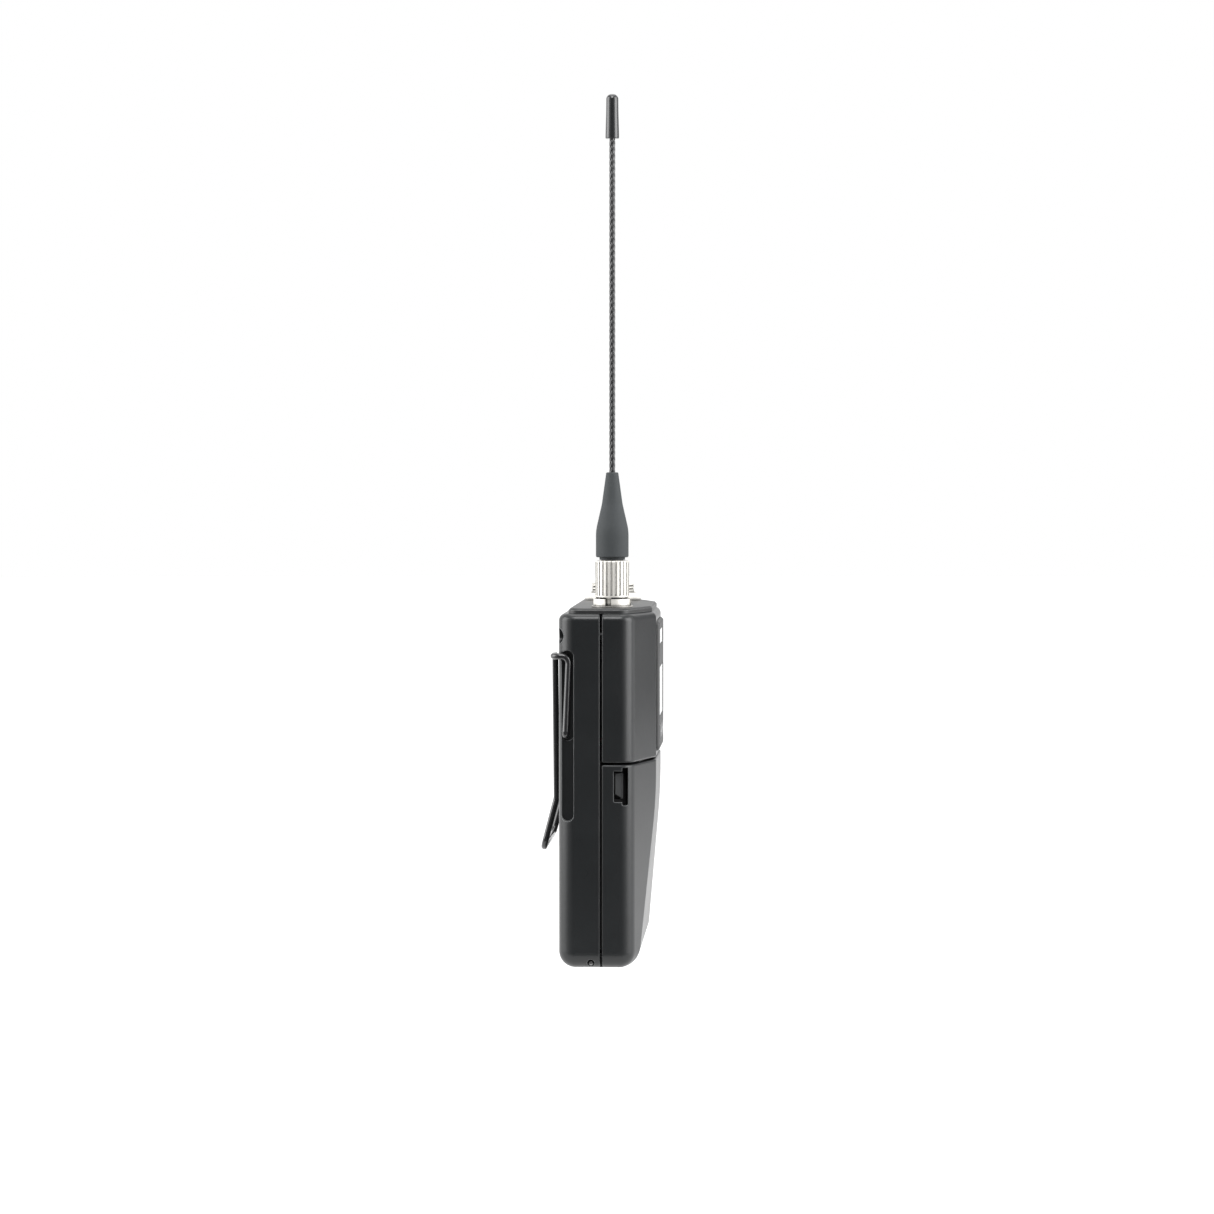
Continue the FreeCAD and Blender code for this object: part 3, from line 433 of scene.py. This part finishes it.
def insulation(name, tint, second):
    """Extruded insulation, smooth with slight die lines."""
    sleeve = Surface(name, tint, 0.42)
    die = sleeve.noise(2200.0, 2.0, 0.5, place=sleeve.stretched((1.0, 1.0, 0.15)))
    sleeve.colour(sleeve.mix(die, tint, second))
    sleeve.gloss(sleeve.remap(die, 0.3, 0.7, 0.36, 0.5))
    sleeve.relief((die, 0.2, 0.02 * MM))
    return sleeve.material


def foam(name):
    """Open-celled polyurethane foam."""
    sponge = Surface(name, (0.030, 0.030, 0.032), 0.95, Specular_IOR_Level=0.15)
    pores = sponge.cells(2600.0)
    threads = sponge.noise(5200.0, 3.0, 0.7)
    # the pore centres are painted near black: painted shade inside the open cells
    sponge.colour(sponge.mix(sponge.remap(pores, 0.15, 0.6), (0.006, 0.006, 0.007), (0.048, 0.048, 0.050)))
    sponge.relief((pores, 1.0, 0.16 * MM), (threads, 0.5, 0.04 * MM))
    return sponge.material


def keycap(name):
    """Grey rubberised keys: arrows on the middle pair, a bar on the outer pair."""
    low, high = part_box("button_up")
    middle = (low[2] + high[2]) / 2
    inner_key, between_keys, outer_key = 2.45 * MM, 4.9 * MM, 7.35 * MM
    tip, foot, spread = 0.55 * MM, -0.45 * MM, 0.75
    bar_reach, bar_half = 0.75 * MM, 0.13 * MM
    dark, light, ink = (0.045, 0.047, 0.048), (0.066, 0.068, 0.070), (0.62, 0.63, 0.63)
    keys = Surface(name, (0.055, 0.057, 0.058), 0.4)
    keys.gloss(keys.remap(mottled(keys, 110.0, 5200.0), *MOTTLE, 0.30, 0.40))
    x = keys.axis("X")
    aside = keys.math("ABSOLUTE", x)
    up = keys.math("SUBTRACT", keys.axis("Z"), middle)
    outer = keys.math("GREATER_THAN", aside, between_keys)
    beside = keys.math("ABSOLUTE", keys.math("SUBTRACT", aside, outer_key))
    bar = keys.math("MULTIPLY", keys.math("LESS_THAN", beside, bar_reach),
                    keys.math("LESS_THAN", keys.math("ABSOLUTE", up), bar_half))
    across = keys.math("ABSOLUTE", keys.math("SUBTRACT", aside, inner_key))
    pointing = keys.math("MULTIPLY", up, keys.math("MULTIPLY", keys.math("SIGN", x), -1.0))
    slant = keys.math("MULTIPLY", keys.math("SUBTRACT", tip, pointing), spread)
    arrow = keys.math("MULTIPLY", keys.math("LESS_THAN", across, slant),
                      keys.math("GREATER_THAN", pointing, foot))
    mark = keys.math("MAXIMUM", keys.math("MULTIPLY", outer, bar),
                     keys.math("MULTIPLY", keys.math("SUBTRACT", 1.0, outer), arrow))
    front = keys.math("LESS_THAN", keys.axis("Y"), low[1] + 0.1 * MM)
    grain = keys.mix(keys.noise(5200.0), dark, light)
    keys.colour(keys.mix(keys.math("MULTIPLY", mark, front), grain, ink))
    keys.relief((keys.cells(5200.0, "SMOOTH_F1"), 0.35, 0.01 * MM))
    return keys.material


CELL_SLEEVE = 47.6 * MM
CELL_BAND = (11.0 * MM, 17.5 * MM)


def cell_wrap(name):
    """Shrunk sleeve in charcoal with one pale band near the positive end, bare metal at both ends."""
    can = Surface(name, (0.03, 0.032, 0.036), 0.3)
    along = can.axis("Z")
    bare = can.math("GREATER_THAN", can.math("ABSOLUTE", along), CELL_SLEEVE / 2)
    band = can.math("MULTIPLY", can.math("GREATER_THAN", along, CELL_BAND[0]),
                    can.math("LESS_THAN", along, CELL_BAND[1]))
    sleeve = can.mix(can.noise(900.0, 3.0, 0.6), (0.022, 0.024, 0.028), (0.036, 0.039, 0.044))
    banded = can.mix(band, sleeve, (0.50, 0.52, 0.54))
    can.colour(can.mix(bare, banded, (0.66, 0.65, 0.62)))
    can.metal(bare)
    wrinkles = can.noise(420.0, 3.0, 0.6, place=can.stretched((1.0, 1.0, 0.3)))
    can.gloss(can.remap(wrinkles, 0.3, 0.7, 0.18, 0.32))
    can.relief((wrinkles, 0.12, 0.04 * MM))
    return can.material


def segment_ink(name):
    """Switched liquid crystal, nearly black with a faint purple cast."""
    ink = Surface(name, (0.020, 0.020, 0.026), 0.35)
    cloud = ink.noise(900.0, 2.0, 0.5)
    ink.colour(ink.mix(cloud, (0.016, 0.016, 0.022), (0.026, 0.026, 0.034)))
    ink.gloss(ink.remap(cloud, 0.3, 0.7, 0.3, 0.42))
    ink.relief((cloud, 0.1, 0.01 * MM))
    return ink.material


# Each slot of the record with the function that makes its material, and that function's arguments.
MATERIALS = {
    "housing": (case_paint, (0.0095, 0.0106, 0.0115), (0.0145, 0.0160, 0.0170), 0.27, 0.34),
    # the same satin paint as the housing, made lighter: painted light for the top plate catching the light
    "deck": (case_paint, (0.018, 0.0185, 0.0185), (0.026, 0.0265, 0.0265), 0.36, 0.44),
    "panel_grey": (moulded, (0.040, 0.041, 0.042), (0.060, 0.061, 0.062), 0.50, 0.62),
    "window": (clear_window,),
    "smoked_gloss": (smoked_window,),
    "display": (liquid_crystal,),
    "keycap": (keycap,),
    "circuit_board": (circuit_board,),
    "tinned_can": (plated, (0.62, 0.62, 0.60), (0.50, 0.50, 0.49), 0.26, 0.40),
    "chip_black": (moulded, (0.012, 0.012, 0.013), (0.022, 0.022, 0.023), 0.5, 0.62),
    "coax_black": (insulation, (0.012, 0.012, 0.013), (0.024, 0.024, 0.025)),
    "lead_red": (insulation, (0.30, 0.016, 0.012), (0.40, 0.030, 0.022)),
    "chassis": (moulded, (0.010, 0.010, 0.011), (0.018, 0.018, 0.019), 0.48, 0.60, 3400.0, 0.03 * MM),
    "cell_can": (cell_wrap,),
    "contact_metal": (plated, (0.70, 0.68, 0.63), (0.58, 0.56, 0.52), 0.18, 0.30),
    "steel_screw": (plated, (0.42, 0.42, 0.42), (0.32, 0.32, 0.32), 0.24, 0.38),
    "foam": (foam,),
    "clip_black": (wire_lacquer,),
    "nickel": (plated, (0.90, 0.88, 0.83), (0.76, 0.74, 0.69), 0.34, 0.46, 0.50),
    "insulator_white": (moulded, (0.62, 0.61, 0.58), (0.74, 0.73, 0.70), 0.36, 0.46),
    "insulator_dark": (moulded, (0.014, 0.014, 0.015), (0.026, 0.026, 0.027), 0.4, 0.5),
    "gold": (plated, (0.83, 0.58, 0.20), (0.70, 0.47, 0.15), 0.14, 0.24),
    "led_lens": (gloss_plastic, (0.16, 0.42, 0.18), (0.22, 0.52, 0.24), 0.10),
    "boot_rubber": (rubber, (0.040, 0.045, 0.047), (0.054, 0.059, 0.062)),
    "whip_black": (gloss_plastic, (0.014, 0.015, 0.016), (0.024, 0.025, 0.026), 0.24),
    "tip_black": (gloss_plastic, (0.012, 0.013, 0.014), (0.020, 0.021, 0.022), 0.12),
}


def make_materials():
    return {slot: make(slot, *details) for slot, (make, *details) in MATERIALS.items()}


def dress_nodes(materials):
    """Gives every CAD node the material of its slot in the record."""
    for part in frame["record"]["subparts"]:
        mesh = NODES[part["node"]].data
        mesh.materials.clear()
        mesh.materials.append(materials[part["material_slot"]])


# ---------------------------------------------------------------- pieces built here

MERGE_DISTANCE = 1e-7
SHARP_ANGLE = math.radians(32.0)
POLE = 1e-6                  # radius of a row that closes on the axis


def piece(name, vertices, faces, material, body, replaced=None, place=None):
    """A named mesh that rides on a CAD body, takes the material it is given and may replace a node."""
    mesh = bpy.data.meshes.new(name)
    mesh.from_pydata([tuple(vertex) for vertex in vertices], [], faces)
    mesh.materials.append(material)
    shape = bmesh.new()
    shape.from_mesh(mesh)
    bmesh.ops.remove_doubles(shape, verts=shape.verts, dist=MERGE_DISTANCE)
    bmesh.ops.recalc_face_normals(shape, faces=shape.faces)
    shape.to_mesh(mesh)
    shape.free()
    mesh.shade_smooth()
    mesh.set_sharp_from_angle(angle=SHARP_ANGLE)
    made = bpy.data.objects.new(name, mesh)
    bpy.context.scene.collection.objects.link(made)
    if place:
        made.matrix_world = place
        bpy.context.view_layer.update()
    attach(made, body)
    if replaced:
        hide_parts(replaced)
    return made


def turned(rows, sides, outline=None):
    """Vertices and faces of a turned shape whose (radius, height) rows close on themselves.

    outline may give each point another radius, from its row's radius, its height and its angle.
    """
    vertices = []
    for radius, height in rows:
        for side in range(sides):
            angle = 2 * math.pi * side / sides
            reach = outline(radius, height, angle) if outline else radius
            vertices.append((reach * math.cos(angle), reach * math.sin(angle), height))
    faces = []
    for row in range(len(rows)):
        following = (row + 1) % len(rows)
        for side in range(sides):
            beside = (side + 1) % sides
            faces.append((row * sides + side, row * sides + beside,
                          following * sides + beside, following * sides + side))
    return vertices, faces


def steps(low, high, size):
    """Even levels from low to high, about size apart."""
    count = max(1, round((high - low) / size))
    return [low + (high - low) * number / count for number in range(count + 1)]


def thread(low, high, depth, pitch):
    """Outline of a single-start helical V thread between two heights, run out at both ends."""
    run_out_length = 0.6 * pitch
    flank = 1.25             # above 1, so that the crests are flat

    def reach(radius, height, angle):
        if not low <= height <= high:
            return radius
        turn = (height / pitch - angle / (2 * math.pi)) % 1.0
        run_out = min(1.0, (height - low) / run_out_length, (high - height) / run_out_length)
        rise = min(1.0, abs(2.0 * turn - 1.0) * flank)
        return radius - depth * run_out * (1.0 - rise)

    return reach


def cuboid(x, y, z):
    """Corners and sides of a block from (low, high) pairs."""
    corners = [(a, b, c) for a in x for b in y for c in z]
    sides = [(0, 1, 3, 2), (4, 6, 7, 5), (0, 4, 5, 1), (2, 3, 7, 6), (0, 2, 6, 4), (1, 5, 7, 3)]
    return corners, sides


def threaded_sleeve(name, node, material, bore, tail, collar, shank, heights, depth, pitch, key=None):
    """Connector body: thin tail under the deck, collar against it, threaded shank above.

    heights are those of the collar's foot, its seat, the thread's start and the top.
    key is a block in the bore.
    """
    low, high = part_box(node)
    middle = Vector(((low[0] + high[0]) / 2, (low[1] + high[1]) / 2, 0.0))
    foot, seat, start, top = heights
    chamfer = 0.2 * MM
    rows = [(bore, low[2]), (tail, low[2]), (tail, foot), (collar, foot), (collar, seat), (shank, seat)]
    rows += [(shank, height) for height in steps(start, top - chamfer, pitch / 10)]
    rows += [(shank - chamfer, top), (bore, top)]
    vertices, faces = turned(rows, 96, thread(start, top - 0.25 * MM, depth, pitch))
    if key:
        first = len(vertices)
        corners, sides = cuboid(*key)
        vertices += corners
        faces += [tuple(first + index for index in side) for side in sides]
    placed = [Vector(vertex) + middle for vertex in vertices]
    piece(name, placed, faces, material, "case", node)


def antenna_socket(material):
    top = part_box("sma_jack")[1][2]
    heights = (top - 12.6 * MM, top - 10.95 * MM, top - 5.7 * MM, top)
    threaded_sleeve("socket_thread", "sma_jack", material, bore=2.1 * MM, tail=2.6 * MM, collar=4.4 * MM,
                    shank=3.12 * MM, heights=heights, depth=0.28 * MM, pitch=0.7056 * MM)


def microphone_socket(material):
    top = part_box("mic_shell")[1][2]
    heights = (top - 9.3 * MM, top - 7.65 * MM, top - 2.6 * MM, top)
    key = ((-0.6 * MM, 0.6 * MM), (3.6 * MM, 4.4 * MM), (top - 4.3 * MM, top - 0.5 * MM))
    threaded_sleeve("microphone_thread", "mic_shell", material, bore=4.2 * MM, tail=4.9 * MM,
                    collar=5.9 * MM, shank=5.5 * MM, heights=heights, depth=0.35 * MM,
                    pitch=0.8 * MM, key=key)


def whip_cable(material):
    """Six-strand twisted spring cable under a thin skin."""
    low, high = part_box("antenna_whip")
    middle = Vector(((low[0] + high[0]) / 2, (low[1] + high[1]) / 2, 0.0))
    outer = (high[0] - low[0]) / 2
    strand = outer / 3
    offset = outer - strand
    valley = 0.80 * outer        # the skin fills the grooves up to here
    lay = 9.3 * MM
    sector = math.pi / 3

    def lobes(radius, height, angle):
        if radius < outer / 2:
            return radius
        turned_by = (angle - 2 * math.pi * height / lay) % sector - sector / 2
        across = offset * math.sin(turned_by)
        reach = offset * math.cos(turned_by) + math.sqrt(max(0.0, strand ** 2 - across ** 2))
        return max(reach, valley)

    rows = [(POLE, low[2])]
    rows += [(outer, height) for height in steps(low[2], high[2], lay / 30)]
    rows.append((POLE, high[2]))
    vertices, faces = turned(rows, 48, lobes)
    placed = [Vector(vertex) + middle for vertex in vertices]
    piece("whip_cable", placed, faces, material, "antenna", "antenna_whip")


def wrapped_cell(name, node, positive, material):
    """Cell with a shrunk sleeve rolled over both ends and a pressed positive cap."""
    low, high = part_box(node)
    length = high[0] - low[0]
    radius = (high[2] - low[2]) / 2
    tail = -length / 2
    top = length / 2
    shoulder = top - 1.0 * MM
    plate = [(POLE, tail), (5.4 * MM, tail), (5.6 * MM, tail + 0.06 * MM), (5.7 * MM, tail + 0.25 * MM)]
    sleeve = [(radius - 0.5 * MM, tail + 0.27 * MM), (radius - 0.15 * MM, tail + 0.42 * MM),
              (radius, tail + 0.8 * MM), (radius, shoulder - 0.8 * MM),
              (radius - 0.2 * MM, shoulder - 0.25 * MM), (radius - 0.7 * MM, shoulder)]
    groove = [(4.6 * MM, shoulder), (4.4 * MM, shoulder - 0.1 * MM), (4.3 * MM, shoulder - 0.3 * MM),
              (2.85 * MM, shoulder - 0.3 * MM), (2.7 * MM, shoulder - 0.1 * MM)]
    cap = [(2.65 * MM, top - 0.25 * MM), (2.4 * MM, top), (POLE, top)]
    vertices, faces = turned(plate + sleeve + groove + cap, 64)
    centre = Vector([(a + b) / 2 for a, b in zip(low, high)])
    place = Matrix.Translation(centre) @ Matrix.Rotation(positive * math.pi / 2, 4, "Y")
    piece(name, vertices, faces, material, "case", node, place)


def foam_pad(material):
    """Soft strip stuck inside the door, its faces uneven and its edges crushed round."""
    low, high = (Vector(corner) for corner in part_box("door_pad"))
    size = high - low
    middle = (low + high) / 2
    lean = 0.84 * MM             # the sloping door sets the strip's lower edge back by this much
    counts = (48, 4, 14)
    crush_start, crush_rate, crush_limit = 0.75, 1.4, 0.5
    inset, bumps = 0.05 * MM, 700.0
    grid = {}
    vertices = []
    faces = []

    def corner(i, j, k):
        if (i, j, k) not in grid:
            share = Vector((i / counts[0], j / counts[1], k / counts[2]))
            set_back = (1 - share.z) * lean
            spot = Vector([low[axis] + size[axis] * share[axis] for axis in range(3)])
            spot.y = low.y + set_back + (size.y - set_back) * share.y
            bite = sum(max(0.0, abs(2 * value - 1) - crush_start) for value in share)
            core = Vector((spot.x * 0.985, middle.y, middle.z))
            crushed = spot.lerp(core, min(crush_limit, bite ** 2 * crush_rate))
            inward = (core - crushed).normalized() * inset * (1 + noise.noise(spot * bumps))
            grid[(i, j, k)] = len(vertices)
            vertices.append(crushed + inward)
        return grid[(i, j, k)]

    for axis in range(3):
        u, v = [other for other in range(3) if other != axis]
        for level in (0, counts[axis]):
            for a in range(counts[u]):
                for b in range(counts[v]):
                    ring = []
                    for da, db in ((0, 0), (1, 0), (1, 1), (0, 1)):
                        index = [0, 0, 0]
                        index[axis], index[u], index[v] = level, a + da, b + db
                        ring.append(corner(*index))
                    faces.append(tuple(ring))
    pad = piece("foam_pad", vertices, faces, material, "battery_door", "door_pad")


def display_marks(material):
    """Plain level bars and a battery outline between the display glass and its window."""
    window_low, window_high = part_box("display_window")
    back = window_high[1] + 0.015 * MM
    depth = (back, back + 0.02 * MM)
    base = window_low[2] + 2.4 * MM
    top = base + 6.4 * MM
    level_bars = [(-8.8 + 1.3 * number, -7.9 + 1.3 * number, 0.0, 0.9 + 0.16 * number)
                  for number in range(12)]
    charge_bars = [(4.9 + 1.1 * number, 5.7 + 1.1 * number, -1.5, -0.5) for number in range(3)]
    battery = [(4.5, 8.5, -0.2, 0.0), (4.5, 8.5, -2.0, -1.8), (4.5, 4.7, -2.0, 0.0),
               (8.3, 8.5, -2.0, 0.0), (8.5, 8.85, -1.4, -0.6)]
    vertices = []
    faces = []
    for origin, bars in ((base, level_bars), (top, charge_bars + battery)):
        for left, right, lower, upper in bars:
            height = (origin + lower * MM, origin + upper * MM)
            corners, sides = cuboid((left * MM, right * MM), depth, height)
            faces += [tuple(len(vertices) + index for index in side) for side in sides]
            vertices += corners
    piece("display_marks", vertices, faces, material, "case")


def build_pieces(materials):
    antenna_socket(materials["nickel"])
    microphone_socket(materials["nickel"])
    whip_cable(materials["whip_black"])
    wrapped_cell("cell_above", "cell_upper", 1, materials["cell_can"])
    wrapped_cell("cell_below", "cell_lower", -1, materials["cell_can"])
    foam_pad(materials["foam"])
    display_marks(segment_ink("segment_ink"))


# ---------------------------------------------------------------- run

bpy.context.scene.view_settings.view_transform = "Standard"
make_camera()
make_floor()
make_world()
make_cloth()
make_lights()
materials = make_materials()
dress_nodes(materials)
build_pieces(materials)
